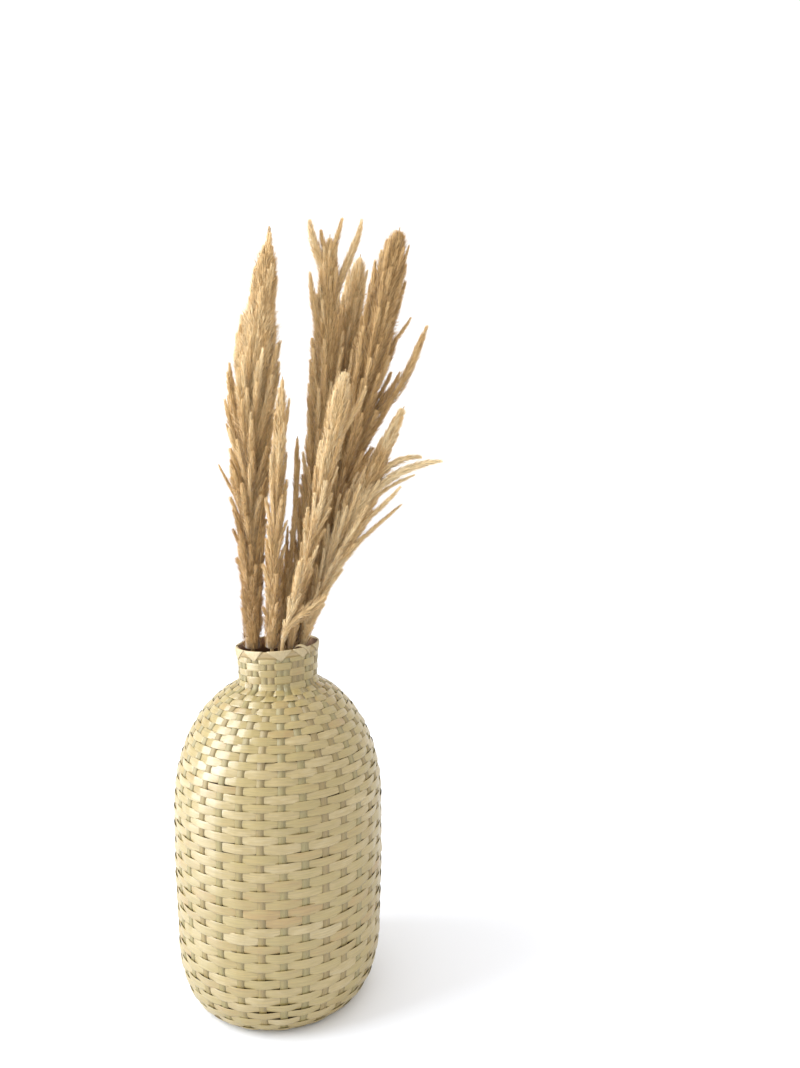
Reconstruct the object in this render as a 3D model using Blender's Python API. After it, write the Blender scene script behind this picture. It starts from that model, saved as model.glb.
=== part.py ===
"""A tall woven straw pot with nine dried pampas stalks standing in it.

Metres, +Z up. The origin is the middle of the pot's flat underside, and -Y is the front. The pot is plain
weave: every row of flat straw passes over one upright stake and under the next. Each stalk is a thin stem
and a plume of locks that grow from one axis.
"""

import math
import random

import bmesh
import bpy
import numpy as np
from mathutils import Vector
from mathutils.bvhtree import BVHTree

# Pot outline, measured over the crowns of the woven strips
POT_HEIGHT = 0.340
BELLY_RADIUS = 0.100
FOOT_RADIUS = 0.072
CORNER_RISE = 0.063
CORNER_TOP_RADIUS = 0.098
BELLY_Z = 0.1235
SHOULDER_Z = 0.184
SHOULDER_RISE = 0.128
SHOULDER_POWER = 2.15
NECK_RADIUS = 0.0378
FLARE_START_Z = 0.310
RIM_RADIUS = 0.0394
WALL = 0.0035
FLOOR = 0.005

# Weave
STAKES = 32
FIRST_STAKE_DEG = -1.3
STAKE_DEPTH = 0.0014
ANCHOR_ROW_Z = 0.0983
BODY_ROW = 0.0082
SHOULDER_ROW = 0.0070
NECK_ROW = 0.0064
INNER_HEIGHTS = (0.304, 0.292, 0.275, 0.245, 0.190, 0.060, 0.020, FLOOR)

# Folded rim, which sits over the bare top of the wall
RIM_FOLDS = 10
FOLD_PIECES = 4
FIRST_FOLD_DEG = -27.0
FOLD_LONG = 0.0095
FOLD_SHORT = 0.0073
INNER_HEM = 0.0060
FOLD_THICK = 0.0012
RIM_EDGE = 0.0006
RIM_PLAY = 0.0004
RIM_LEAN = 0.05
LEAN_START_Z = 0.275

GAP = 0.0003

# Stalks
STEM_RADIUS = 0.0019
STEM_STEPS = 5
SOCKET = 0.020
PLUME_START_Z = 0.347
CORE_SIDES = 6
CORE_STEP = 0.0185
SLIM_CORE_STEP = 0.026
SLIM_RADIUS = 0.008
CORE_LOW = 0.40
CORE_HIGH = 0.66
CORE_LEAST = 0.0034
WIDTH_PLACES = (0.0, 0.2, 0.4, 0.6, 0.7, 0.8, 0.9, 0.96, 1.0)
LOCK_WIDEST = 0.0058
LOCK_SHORTEST = 0.012
LOCK_SIZES = (1.0, 0.8, 0.6, 0.45)
STRAY_SIZES = (0.85, 0.6, 0.4)
STRAY_LEAST = 0.0013
NECK_Z = 0.339
FOOT_CLEARANCE = 0.0010
LOCK_SLANT = 0.42
NEIGHBOUR_GAP = 0.0016

# foot and neck are where the stem stands on the pot's floor and leaves its mouth, mid is where the plume
# bends, tip is its end. widths are the plume's radius in millimetres at WIDTH_PLACES of its length, lock how
# long its branches are. strays are single branches that reach further: (share of the plume's length, tip,
# half width).
STALKS = {
    "left": {
        "foot": (-0.019, -0.026),
        "neck": (-0.0225, -0.010),
        "mid": (-0.0215, -0.008, 0.560),
        "tip": (-0.002, -0.006, 0.728),
        "widths": (9.0, 13.6, 21.0, 24.0, 23.0, 16.0, 14.5, 6.0, 1.0),
        "lock": 0.072,
        "strays": [
            (0.90, (-0.0024, -0.006, 0.7285), 0.0017),
            (0.56, (-0.028, -0.012, 0.646), 0.0030),
            (0.44, (-0.041, -0.014, 0.594), 0.0030),
            (0.32, (-0.042, -0.022, 0.568), 0.0026),
            (0.34, (-0.046, 0.002, 0.548), 0.0026),
            (0.22, (-0.051, -0.010, 0.509), 0.0017),
        ],
    },
    "left_inner": {
        "foot": (-0.009, -0.023),
        "neck": (-0.001, -0.019),
        "mid": (0.005, -0.031, 0.479),
        "tip": (0.012, -0.031, 0.590),
        "widths": (4.8, 8.6, 11.0, 10.6, 9.4, 7.8, 5.8, 3.4, 0.8),
        "lock": 0.060,
        "strays": [
            (0.58, (0.017, -0.026, 0.569), 0.0028),
            (0.20, (0.0135, -0.030, 0.484), 0.0028),
        ],
    },
    "thin": {
        "foot": (-0.028, -0.015),
        "neck": (0.003, -0.005),
        "mid": (0.016, 0.004, 0.449),
        "tip": (0.020, 0.008, 0.538),
        "widths": (3.6, 5.0, 5.4, 4.0, 2.8, 3.6, 4.2, 2.6, 0.6),
        "lock": 0.045,
        "strays": [],
    },
    "front_short": {
        "foot": (-0.004, -0.048),
        "neck": (0.008, -0.027),
        "mid": (0.021, -0.038, 0.388),
        "tip": (0.030, -0.043, 0.428),
        "widths": (3.0, 4.6, 5.6, 6.2, 6.2, 5.8, 4.4, 3.0, 0.8),
        "lock": 0.036,
        "strays": [
            (0.04, (0.0485, -0.036, 0.390), 0.0056),
        ],
    },
    "middle": {
        "foot": (-0.054, 0.000),
        "neck": (0.009, 0.003),
        "mid": (0.0435, 0.018, 0.560),
        "tip": (0.051, 0.024, 0.731),
        "widths": (7.5, 12.0, 17.0, 18.5, 17.5, 14.0, 11.5, 10.0, 5.0),
        "lock": 0.070,
        "strays": [
            (0.84, (0.032, 0.018, 0.7405), 0.0044),
            (0.90, (0.0625, 0.022, 0.744), 0.0034),
            (0.88, (0.0425, 0.022, 0.733), 0.0026),
            (0.76, (0.081, 0.028, 0.7435), 0.0050),
            (0.60, (0.031, 0.012, 0.690), 0.0032),
        ],
    },
    "front": {
        "foot": (-0.021, -0.003),
        "neck": (0.015, -0.019),
        "mid": (0.050, -0.040, 0.497),
        "tip": (0.070, -0.045, 0.595),
        "widths": (5.0, 8.0, 11.5, 12.0, 12.4, 12.2, 10.6, 7.4, 1.5),
        "lock": 0.055,
        "strays": [
            (0.62, (0.087, -0.040, 0.578), 0.0036),
        ],
    },
    "middle_back": {
        "foot": (-0.037, 0.003),
        "neck": (0.014, 0.009),
        "mid": (0.0565, 0.044, 0.576),
        "tip": (0.080, 0.053, 0.718),
        "widths": (7.5, 12.0, 16.5, 17.5, 17.5, 16.5, 14.0, 11.0, 4.5),
        "lock": 0.070,
        "strays": [
            (0.30, (0.052, 0.074, 0.560), 0.0032),
        ],
    },
    "right": {
        "foot": (-0.049, -0.007),
        "neck": (0.023, 0.000),
        "mid": (0.073, 0.006, 0.535),
        "tip": (0.118, 0.012, 0.734),
        "widths": (7.5, 13.0, 20.5, 22.0, 22.0, 20.0, 18.0, 13.0, 2.5),
        "lock": 0.075,
        "strays": [
            (0.60, (0.1275, 0.020, 0.650), 0.0026),
            (0.56, (0.140, 0.000, 0.632), 0.0044),
            (0.40, (0.117, 0.022, 0.598), 0.0030),
            (0.42, (0.115, 0.000, 0.590), 0.0034),
        ],
    },
    "low_right": {
        "foot": (-0.031, -0.054),
        "neck": (0.025, -0.010),
        "mid": (0.073, -0.020, 0.460),
        "tip": (0.122, -0.024, 0.564),
        "widths": (4.5, 10.0, 17.0, 18.5, 16.0, 10.5, 8.2, 6.2, 1.5),
        "lock": 0.070,
        "strays": [
            (0.50, (0.154, -0.030, 0.514), 0.0030),
            (0.44, (0.130, -0.008, 0.5005), 0.0014),
            (0.30, (0.117, -0.032, 0.489), 0.0024),
            (0.14, (0.117, -0.018, 0.472), 0.0022),
        ],
    },
}


def remove_everything():
    for thing in list(bpy.context.scene.objects):
        bpy.data.objects.remove(thing, do_unlink=True)


def finish(name, red, green, blue, roughness):
    material = bpy.data.materials.new(name)
    material.use_nodes = True
    shader = material.node_tree.nodes["Principled BSDF"]
    shader.inputs["Base Color"].default_value = (red, green, blue, 1.0)
    shader.inputs["Roughness"].default_value = roughness
    shader.inputs["Metallic"].default_value = 0.0
    return material


def add_object(name, points, faces, material, smooth=False):
    """One closed object from its points and faces."""
    mesh = bpy.data.meshes.new(name)
    mesh.from_pydata([tuple(point) for point in points], [], faces)
    mesh.validate()
    shape = bmesh.new()
    shape.from_mesh(mesh)
    bmesh.ops.recalc_face_normals(shape, faces=shape.faces)
    shape.to_mesh(mesh)
    shape.free()
    if smooth:
        mesh.shade_smooth()
        mesh.set_sharp_from_angle(angle=math.radians(65))
    mesh.materials.append(material)
    made = bpy.data.objects.new(name, mesh)
    bpy.context.scene.collection.objects.link(made)
    return made


def ring_quads(first, second, count):
    """Faces between two rings of count vertices that start at these indices."""
    return [
        (first + i, first + (i + 1) % count, second + (i + 1) % count, second + i)
        for i in range(count)
    ]


def outline_radius(z):
    """Outside radius of the pot at a height, over the crowns of the strips."""
    if z < CORNER_RISE:
        turn = math.acos(1.0 - z / CORNER_RISE)
        return FOOT_RADIUS + (CORNER_TOP_RADIUS - FOOT_RADIUS) * math.sin(turn)
    if z < BELLY_Z:
        share = (z - CORNER_RISE) / (BELLY_Z - CORNER_RISE)
        return CORNER_TOP_RADIUS + (BELLY_RADIUS - CORNER_TOP_RADIUS) * share
    if z < SHOULDER_Z:
        return BELLY_RADIUS
    rise = min(1.0, (z - SHOULDER_Z) / SHOULDER_RISE)
    shoulder = BELLY_RADIUS * (1.0 - rise**SHOULDER_POWER) ** (1.0 / SHOULDER_POWER)
    flare = max(0.0, z - FLARE_START_Z) / (POT_HEIGHT - FLARE_START_Z)
    return max(shoulder, NECK_RADIUS + (RIM_RADIUS - NECK_RADIUS) * flare)


def row_pitch(z):
    if z < SHOULDER_Z:
        return BODY_ROW
    if outline_radius(z) > NECK_RADIUS + 0.001:
        return SHOULDER_ROW
    return NECK_ROW


def step_along(z, distance):
    """The height reached after a distance along the outline, upwards or downwards."""
    pieces = 24
    for _ in range(pieces):
        slope = (outline_radius(z + 1e-5) - outline_radius(z - 1e-5)) / 2e-5 if z > 2e-5 else -40.0
        z += distance / pieces / math.hypot(1.0, slope)
        z = max(z, 0.0)
    return z


def row_heights():
    """Heights of the weft rows, from the pot's edge to the rim, and the number of the anchor row."""
    down = [ANCHOR_ROW_Z]
    while down[-1] > 0.004:
        down.append(step_along(down[-1], -BODY_ROW))
    rows = down[::-1]
    anchor = len(rows) - 1
    top = POT_HEIGHT - FOLD_LONG - 0.5 * NECK_ROW
    while rows[-1] < top - NECK_ROW * 0.5:
        rows.append(step_along(rows[-1], row_pitch(rows[-1])))
    return rows, anchor


def lean(x, z):
    """How far the handmade mouth climbs towards its right side."""
    share = min(1.0, max(0.0, (z - LEAN_START_Z) / (POT_HEIGHT - LEAN_START_Z)))
    return RIM_LEAN * x * share * share * (3.0 - 2.0 * share)


def round_pot(radius, z, angle):
    """A point of the pot. Angle 0 faces the front and grows to the right."""
    x = radius * math.sin(angle)
    return (x, -radius * math.cos(angle), z + lean(x, z))


def turned(radius, z, stake):
    """A point of the pot at one of its stakes."""
    return round_pot(radius, z, math.radians(FIRST_STAKE_DEG) + 2.0 * math.pi * stake / STAKES)


def make_pot(material):
    """Wall and floor as one shell: the outside has a crown wherever a strip passes over a stake."""
    rows, anchor = row_heights()
    points = [(0.0, 0.0, 0.0)]
    points += [turned(FOOT_RADIUS, 0.0, i) for i in range(STAKES)]
    for row, z in enumerate(rows):
        in_neck = outline_radius(z) < NECK_RADIUS + 0.002
        for i in range(STAKES):
            group = (i + 1) // 2 if in_neck else i
            under = (group + row - anchor) % 2 == 0
            points.append(turned(outline_radius(z) - STAKE_DEPTH * under, z, i))
    wall_top = POT_HEIGHT - FOLD_THICK - GAP
    bare = RIM_RADIUS - FOLD_THICK - GAP - RIM_PLAY
    inside = NECK_RADIUS - WALL
    for z in (POT_HEIGHT - FOLD_LONG - GAP, wall_top):
        points += [turned(bare, z, i) for i in range(STAKES)]
    for i in range(STAKES):
        points.append(turned(inside, wall_top, i))
    for z in INNER_HEIGHTS:
        radius = max(outline_radius(z) - WALL - STAKE_DEPTH, inside)
        points += [turned(radius, z, i) for i in range(STAKES)]
    points.append((0.0, 0.0, FLOOR))
    faces = []
    rings = (len(points) - 2) // STAKES
    for ring in range(rings - 1):
        faces += ring_quads(1 + ring * STAKES, 1 + (ring + 1) * STAKES, STAKES)
    last = 1 + (rings - 1) * STAKES
    for i in range(STAKES):
        faces.append((0, 1 + (i + 1) % STAKES, 1 + i))
        faces.append((len(points) - 1, last + i, last + (i + 1) % STAKES))
    return add_object("woven_pot", points, faces, material)


def make_rim(material):
    """Stake ends folded over the mouth: a cap over the wall's edge whose outer hem has ten low points."""
    outer = RIM_RADIUS
    outer_back = outer - FOLD_THICK
    inner_back = (NECK_RADIUS - WALL) * math.cos(math.pi / STAKES) - GAP
    inner = inner_back - FOLD_THICK
    top = POT_HEIGHT
    under = top - FOLD_THICK
    inner_hem = top - INNER_HEM
    pointed = None
    section = (
        (outer, pointed),
        (outer, top - RIM_EDGE),
        (outer - RIM_EDGE, top),
        (inner, top),
        (inner, inner_hem),
        (inner_back, inner_hem),
        (inner_back, under),
        (outer_back, under),
        (outer_back, pointed),
    )
    sides = RIM_FOLDS * FOLD_PIECES
    points = []
    for radius, z in section:
        for i in range(sides):
            from_point = abs((i + FOLD_PIECES / 2) % FOLD_PIECES - FOLD_PIECES / 2) / (FOLD_PIECES / 2)
            hem = top - FOLD_LONG + (FOLD_LONG - FOLD_SHORT) * from_point
            angle = math.radians(FIRST_FOLD_DEG) + 2.0 * math.pi * i / sides
            points.append(round_pot(radius, hem if z is pointed else z, angle))
    rings = len(section)
    faces = []
    for ring in range(rings):
        faces += ring_quads(ring * sides, (ring + 1) % rings * sides, sides)
    return add_object("folded_rim", points, faces, material)


class Curve:
    """A smooth line through a stalk's foot, neck, bend and tip, read by the distance along it."""

    def __init__(self, stalk):
        foot_x, foot_y = stalk["foot"]
        neck_x, neck_y = stalk["neck"]
        foot = Vector((foot_x, foot_y, FLOOR + GAP + FOOT_CLEARANCE))
        neck = Vector((neck_x, neck_y, NECK_Z))
        mid, tip = Vector(stalk["mid"]), Vector(stalk["tip"])
        route = [foot + (foot - neck), foot, neck, mid, tip, tip + (tip - mid)]
        samples = []
        for before, start, end, after in zip(route, route[1:], route[2:], route[3:], strict=False):
            samples += [self.between(before, start, end, after, step / 40) for step in range(40)]
        samples.append(tip)
        self.points = np.array([tuple(point) for point in samples])
        strides = np.linalg.norm(np.diff(self.points, axis=0), axis=1)
        self.along = np.concatenate([[0.0], np.cumsum(strides)])
        self.length = float(self.along[-1])

    @staticmethod
    def between(before, start, end, after, share):
        """A point between start and end, on a curve whose slopes come from the points around them."""
        span = (end - start).length
        leave = (end - before).normalized() * span
        arrive = (after - start).normalized() * span
        square, cube = share * share, share**3
        return (
            start * (2 * cube - 3 * square + 1)
            + leave * (cube - 2 * square + share)
            + end * (3 * square - 2 * cube)
            + arrive * (cube - square)
        )

    def place(self, distance):
        return Vector([float(np.interp(distance, self.along, self.points[:, axis])) for axis in range(3)])

    def frame(self, distance):
        """Place, direction, and two directions across the line."""
        here = self.place(distance)
        ahead = self.place(min(distance + 0.004, self.length))
        behind = self.place(max(distance - 0.004, 0.0))
        forward = (ahead - behind).normalized()
        side = (Vector((1, 0, 0)) - forward * forward.x).normalized()
        return here, forward, side, forward.cross(side)

    def distance_at_height(self, z):
        return float(np.interp(z, self.points[:, 2], self.along))

    def nearest(self, point):
        return float(np.min(np.linalg.norm(self.points - np.array(tuple(point)), axis=1)))


def ring_on(curve, distance, radius, sides=CORE_SIDES):
    here, _, side, across = curve.frame(distance)
    turns = [2.0 * math.pi * i / sides for i in range(sides)]
    return [here + (side * math.cos(turn) + across * math.sin(turn)) * radius for turn in turns]


def make_stem(name, curve, start, material):
    """A straight thin culm from the pot's floor up into the plume's root."""
    steps = STEM_STEPS + 1
    stops = [start * step / STEM_STEPS for step in range(steps)] + [start + SOCKET - GAP]
    points = []
    for distance in stops:
        points += ring_on(curve, distance, STEM_RADIUS)
    faces = []
    for step in range(steps):
        faces += ring_quads(step * CORE_SIDES, (step + 1) * CORE_SIDES, CORE_SIDES)
    faces.append(tuple(reversed(range(CORE_SIDES))))
    faces.append(tuple(range(steps * CORE_SIDES, (steps + 1) * CORE_SIDES)))
    return add_object(f"stem_{name}", points, faces, material, smooth=True)


class Plume:
    """A core round the upper end of a stalk's axis, and the tapered locks grown from faces of it."""

    def __init__(self, name, stalk, curves, start):
        self.name = name
        self.stalk = stalk
        self.curve = curves[name]
        self.others = [other for key, other in curves.items() if key != name]
        self.start = start
        self.length = self.curve.length - start
        step = CORE_STEP if self.width(0.6) > SLIM_RADIUS else SLIM_CORE_STEP
        self.rings = round(self.length / step)
        self.points = []
        self.faces = []
        self.core = {}
        self.taken = set()
        self.make_core()

    def width(self, share):
        """Radius of the plume's outside at a share of its length, from its root to its tip."""
        return 0.001 * float(np.interp(share, WIDTH_PLACES, self.stalk["widths"]))

    @staticmethod
    def core_share(share):
        """How much of the plume's radius its core fills: little among the spread locks, more near the tip."""
        return float(np.interp(share, (0.4, 0.8), (CORE_LOW, CORE_HIGH)))

    def room(self, point):
        """How wide the core may be at a point before it meets the next stalk's."""
        return min(other.nearest(point) for other in self.others) / 2 - GAP

    def make_core(self):
        """Root with a socket for the stem, the tapering core, and its tip."""
        for distance in (self.start + SOCKET, self.start):
            self.points += ring_on(self.curve, distance, STEM_RADIUS + GAP)
        for ring in range(self.rings):
            share = ring / self.rings
            distance = self.start + self.length * share
            radius = max(self.core_share(share) * self.width(share), CORE_LEAST * (1.0 - 0.75 * share))
            radius = min(radius, self.room(self.curve.place(distance)))
            self.points += ring_on(self.curve, distance, radius)
        self.faces.append(tuple(range(CORE_SIDES)))
        for ring in range(2):
            self.faces += ring_quads(ring * CORE_SIDES, (ring + 1) * CORE_SIDES, CORE_SIDES)
        for ring in range(self.rings - 1):
            first = (ring + 2) * CORE_SIDES
            for side, face in enumerate(ring_quads(first, first + CORE_SIDES, CORE_SIDES)):
                self.core[ring, side] = face
        tip = len(self.points)
        last = tip - CORE_SIDES
        self.points.append(self.curve.place(self.curve.length))
        self.faces += [(last + i, last + (i + 1) % CORE_SIDES, tip) for i in range(CORE_SIDES)]

    def keeps_clear(self, corners):
        """Whether all of a lock's corners are nearer to this stalk than to any other."""
        for corner in corners:
            near = self.curve.nearest(corner) + NEIGHBOUR_GAP
            if any(other.nearest(corner) < near for other in self.others):
                return False
        return True

    def cuts(self, corners, lock_faces):
        """Whether a lock would pass through itself or through the plume as it stands."""
        points = self.points + corners
        standing = self.faces + list(self.core.values())
        old = BVHTree.FromPolygons(points, standing)
        new = BVHTree.FromPolygons(points, lock_faces)
        pairs = [(standing[i], lock_faces[j]) for i, j in old.overlap(new)]
        pairs += [(lock_faces[i], lock_faces[j]) for i, j in new.overlap(new)]
        return any(not set(one) & set(other) for one, other in pairs)

    def grow(self, key, end, outward, half_width, half_thick):
        """Draws a core face out into a lock that ends at a point. Returns whether there was room."""
        face = self.core.pop(key)
        base = sum((self.points[i] for i in face), Vector()) / 4
        forward = (end - base).normalized()
        across = forward.cross(outward).normalized()
        away = across.cross(forward)
        belly = base.lerp(end, 0.5) + away * half_thick
        corners = [
            belly + across * half_width * right + away * half_thick * over
            for right, over in ((1, 1), (-1, 1), (-1, -1), (1, -1))
        ]
        first = len(self.points)
        order = [first, first + 1, first + 2, first + 3]
        if (self.points[face[0]] - corners[0]).length > (self.points[face[1]] - corners[0]).length:
            order = [first + 1, first, first + 3, first + 2]
        lock_faces = []
        for i in range(4):
            j = (i + 1) % 4
            lock_faces.append((face[i], face[j], order[j], order[i]))
            lock_faces.append((order[i], order[j], first + 4))
        corners.append(end)
        if not self.keeps_clear(corners) or self.cuts(corners, lock_faces):
            self.core[key] = face
            return False
        self.points += corners
        self.faces += lock_faces
        ring, side = key
        self.taken |= {(ring - 1, side), key, (ring + 1, side)}
        return True

    def grow_stray(self, share, end, wide):
        """A long single branch, from the face that looks towards its tip."""
        rings = sorted({min(self.rings - 2, max(0, round(share * self.rings) + i)) for i in (-1, 0, 1)})
        choices = []
        for key in self.core:
            if key[0] in rings and key not in self.taken:
                axis = self.curve.place(self.start + self.length * (key[0] + 0.5) / self.rings)
                centre = sum((self.points[i] for i in self.core[key]), Vector()) / 4
                outward = (centre - axis).normalized()
                choices.append((outward.dot((end - axis).normalized()), key, outward))
        for _, key, outward in sorted(choices, reverse=True)[:6]:
            for size in STRAY_SIZES:
                half_width = max(wide * size, STRAY_LEAST)
                if self.grow(key, end, outward, half_width, half_width * 0.6):
                    return

    def grow_lock(self, key, rng):
        """An ordinary lock, from the core up and out to the plume's outside."""
        ring, side = key
        root = self.start + self.length * (ring + 0.5) / self.rings
        turn = 2.0 * math.pi * (side + 0.5) / CORE_SIDES + rng.uniform(-0.16, 0.16)
        reach = rng.uniform(0.95, 1.18)
        long = self.stalk["lock"] * rng.uniform(0.85, 1.12)
        for size in LOCK_SIZES:
            top = min(root + long * size, self.curve.length - 0.004)
            if top - root < LOCK_SHORTEST:
                return
            share = (top - self.start) / self.length
            away = max(self.width(share) * reach, 0.0016) * size**0.5
            there, _, side_way, over_way = self.curve.frame(top)
            outward = side_way * math.cos(turn) + over_way * math.sin(turn)
            half_width = min(LOCK_WIDEST, 0.36 * away + 0.0006, 0.10 * (top - root)) * size**0.5
            slope = (1.0 - self.core_share(share)) * away / (top - root)
            half_thick = min(0.0024, LOCK_SLANT * slope * 2.0 * self.length / self.rings)
            if self.grow(key, there + outward * away, outward, half_width, half_thick):
                return

    def make(self, material, rng):
        for share, end, wide in self.stalk["strays"]:
            self.grow_stray(share, Vector(end), wide)
        for ring in range(self.rings - 2):
            for side in range(CORE_SIDES):
                if (ring + side) % 2 == 0 and (ring, side) not in self.taken:
                    self.grow_lock((ring, side), rng)
        self.faces += self.core.values()
        return add_object(f"plume_{self.name}", self.points, self.faces, material)


def main():
    remove_everything()
    straw = finish("straw", 0.62, 0.52, 0.30, 0.55)
    folded_straw = finish("folded_straw", 0.62, 0.46, 0.24, 0.55)
    culm = finish("culm", 0.50, 0.36, 0.18, 0.6)
    plume = finish("plume", 0.55, 0.38, 0.20, 0.9)
    make_pot(straw)
    make_rim(folded_straw)
    curves = {name: Curve(stalk) for name, stalk in STALKS.items()}
    rng = random.Random(7)
    for name, stalk in STALKS.items():
        start = curves[name].distance_at_height(PLUME_START_Z)
        make_stem(name, curves[name], start, culm)
        Plume(name, stalk, curves, start).make(plume, rng)


main()
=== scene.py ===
import math

import bpy
import numpy as np
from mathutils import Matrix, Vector


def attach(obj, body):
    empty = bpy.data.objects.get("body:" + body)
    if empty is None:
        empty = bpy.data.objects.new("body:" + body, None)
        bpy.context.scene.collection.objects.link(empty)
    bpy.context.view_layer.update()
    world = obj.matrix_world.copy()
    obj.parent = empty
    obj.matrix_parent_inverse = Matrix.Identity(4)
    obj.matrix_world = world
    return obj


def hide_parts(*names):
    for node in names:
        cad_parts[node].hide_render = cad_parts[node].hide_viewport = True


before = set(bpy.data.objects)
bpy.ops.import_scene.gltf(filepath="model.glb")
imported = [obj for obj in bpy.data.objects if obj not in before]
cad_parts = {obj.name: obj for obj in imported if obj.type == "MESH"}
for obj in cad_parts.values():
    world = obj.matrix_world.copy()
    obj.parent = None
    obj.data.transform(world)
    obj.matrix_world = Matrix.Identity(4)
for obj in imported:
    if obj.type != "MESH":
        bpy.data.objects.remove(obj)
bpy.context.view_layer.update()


# The pot's stakes are thirty-two flat strips of split palm straw. They cross under the pot, bend up its wall
# and end at the mouth. They are woven in dry, so they stay flat, and each shows only between the rows.
POT_HEIGHT = 0.340
BELLY_RADIUS = 0.100
FOOT_RADIUS = 0.072
CORNER_RISE = 0.063
CORNER_TOP_RADIUS = 0.098
BELLY_Z = 0.1235
SHOULDER_Z = 0.184
SHOULDER_RISE = 0.128
SHOULDER_POWER = 2.15
NECK_RADIUS = 0.0378
FLARE_START_Z = 0.310
RIM_RADIUS = 0.0394
RIM_LEAN = 0.05
LEAN_START_Z = 0.275

STAKES = 32
FIRST_STAKE = math.radians(-1.3)
STAKE_WIDTH = 0.0068
STAKE_SHARE = 0.84
PAIR_PULL = 0.50
STAKE_SWAY = 0.008
SWAY_WAVES = ((0.6, 3, 31.0, 1.0), (0.4, 7, -57.0, 0.0))
STRAW_THICK = 0.00035
OUTLINE_STEPS = 1200
WALL_FROM_STEP = 200
SOFT_REACH = 9
ANCHOR_ROW_Z = 0.0983
BODY_ROW = 0.0082
SHOULDER_ROW = 0.0070
NECK_ROW = 0.0064
FOLD_LONG = 0.0095
PAIRED_RADIUS = NECK_RADIUS + 0.002
BASE_PAIRED_RADIUS = 0.038
BASE_FOURS_RADIUS = 0.022
CENTRE_ROW_RADIUS = 0.014
NECK_BLEND = (0.040, 0.060)
DIVE_SHALLOW = 0.0013
DIVE_DEEP = 0.0023
DIVE_BLEND = (0.040, 0.085)
STAKE_COVERED = 0.30
STAKE_SHOWN = 0.42
STAKE_END = 0.003
LANE_HALF = 0.45

rng = np.random.default_rng(11)


def eased(low, high, value):
    """0 below low, 1 above high, and a smooth slope between them."""
    share = np.clip((value - low) / (high - low), 0.0, 1.0)
    return share * share * (3.0 - 2.0 * share)


def wall_radius(z):
    """Outside radius of the pot above its lower corner, over the crowns of the straws."""
    lower = CORNER_TOP_RADIUS + (BELLY_RADIUS - CORNER_TOP_RADIUS) * np.clip(
        (z - CORNER_RISE) / (BELLY_Z - CORNER_RISE), 0.0, 1.0
    )
    rise = np.clip((z - SHOULDER_Z) / SHOULDER_RISE, 0.0, 1.0)
    shoulder = lower * (1.0 - rise**SHOULDER_POWER) ** (1.0 / SHOULDER_POWER)
    flare = np.clip((z - FLARE_START_Z) / (POT_HEIGHT - FLARE_START_Z), 0.0, 1.0)
    return np.maximum(shoulder, NECK_RADIUS + (RIM_RADIUS - NECK_RADIUS) * flare)


def softened(values, reach):
    """The values with each one averaged over its neighbours, and both ends kept."""
    padded = np.pad(values, reach, mode="reflect", reflect_type="odd")
    return np.convolve(padded, np.full(2 * reach + 1, 1.0 / (2 * reach + 1)), mode="valid")


# The outline runs from the middle of the underside, out and up the wall. A walk is a distance along it.
corner_turn = np.linspace(0.0, math.pi / 2, 60)
corner_r = FOOT_RADIUS + (CORNER_TOP_RADIUS - FOOT_RADIUS) * np.sin(corner_turn)
corner_z = CORNER_RISE * (1.0 - np.cos(corner_turn))
wall_z = np.linspace(CORNER_RISE, POT_HEIGHT, 600)[1:]
drawn_r = np.concatenate([[0.0], corner_r, wall_radius(wall_z)])
drawn_z = np.concatenate([[0.0], corner_z, wall_z])
drawn_walk = np.concatenate([[0.0], np.cumsum(np.hypot(np.diff(drawn_r), np.diff(drawn_z)))])
walks = np.linspace(0.0, drawn_walk[-1], OUTLINE_STEPS)
outline_r = softened(np.interp(walks, drawn_walk, drawn_r), SOFT_REACH)
outline_z = softened(np.interp(walks, drawn_walk, drawn_z), SOFT_REACH)
facing_r = np.gradient(outline_z, walks)
facing_z = -np.gradient(outline_r, walks)
RIM_WALK = float(walks[-1])


def on_wall(walk, turn, depth):
    """Points at a walk, turned round the pot from its front, and this deep below the outline."""
    radius = np.interp(walk, walks, outline_r) - depth * np.interp(walk, walks, facing_r)
    height = np.interp(walk, walks, outline_z) - depth * np.interp(walk, walks, facing_z)
    x = radius * np.sin(turn)
    climb = RIM_LEAN * x * eased(LEAN_START_Z, POT_HEIGHT, height)
    height = np.maximum(height + climb, 0.0)
    return np.stack(np.broadcast_arrays(x, -radius * np.cos(turn), height), axis=-1)


def row_walks():
    """The walk of each weft row, from the one nearest the base's middle, and the anchor row's number."""
    anchor_walk = float(np.interp(ANCHOR_ROW_Z, outline_z[WALL_FROM_STEP:], walks[WALL_FROM_STEP:]))
    below = int((anchor_walk - CENTRE_ROW_RADIUS) / BODY_ROW)
    rows = [anchor_walk - BODY_ROW * count for count in range(below, -1, -1)]
    while True:
        z = np.interp(rows[-1], walks, outline_z)
        radius = np.interp(rows[-1], walks, outline_r)
        pitch = SHOULDER_ROW if radius > NECK_RADIUS + 0.001 else NECK_ROW
        if z < SHOULDER_Z:
            pitch = BODY_ROW
        if rows[-1] + pitch > RIM_WALK - FOLD_LONG * 0.5:
            return np.array(rows), below
        rows.append(rows[-1] + pitch)


ROWS, ANCHOR = row_walks()


def stakes_together(row):
    """How many stakes a row passes over at once: one on the body, two in the neck, more near the centre."""
    radius = np.interp(ROWS[row], walks, outline_r)
    if row < ANCHOR and radius < BASE_FOURS_RADIUS:
        return 4
    return 2 if radius < (BASE_PAIRED_RADIUS if row < ANCHOR else PAIRED_RADIUS) else 1


def group_start(together):
    """The first stake of group 0. Where stakes work together, a group starts one stake before stake 0."""
    return 0 if together == 1 else -1


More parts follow.
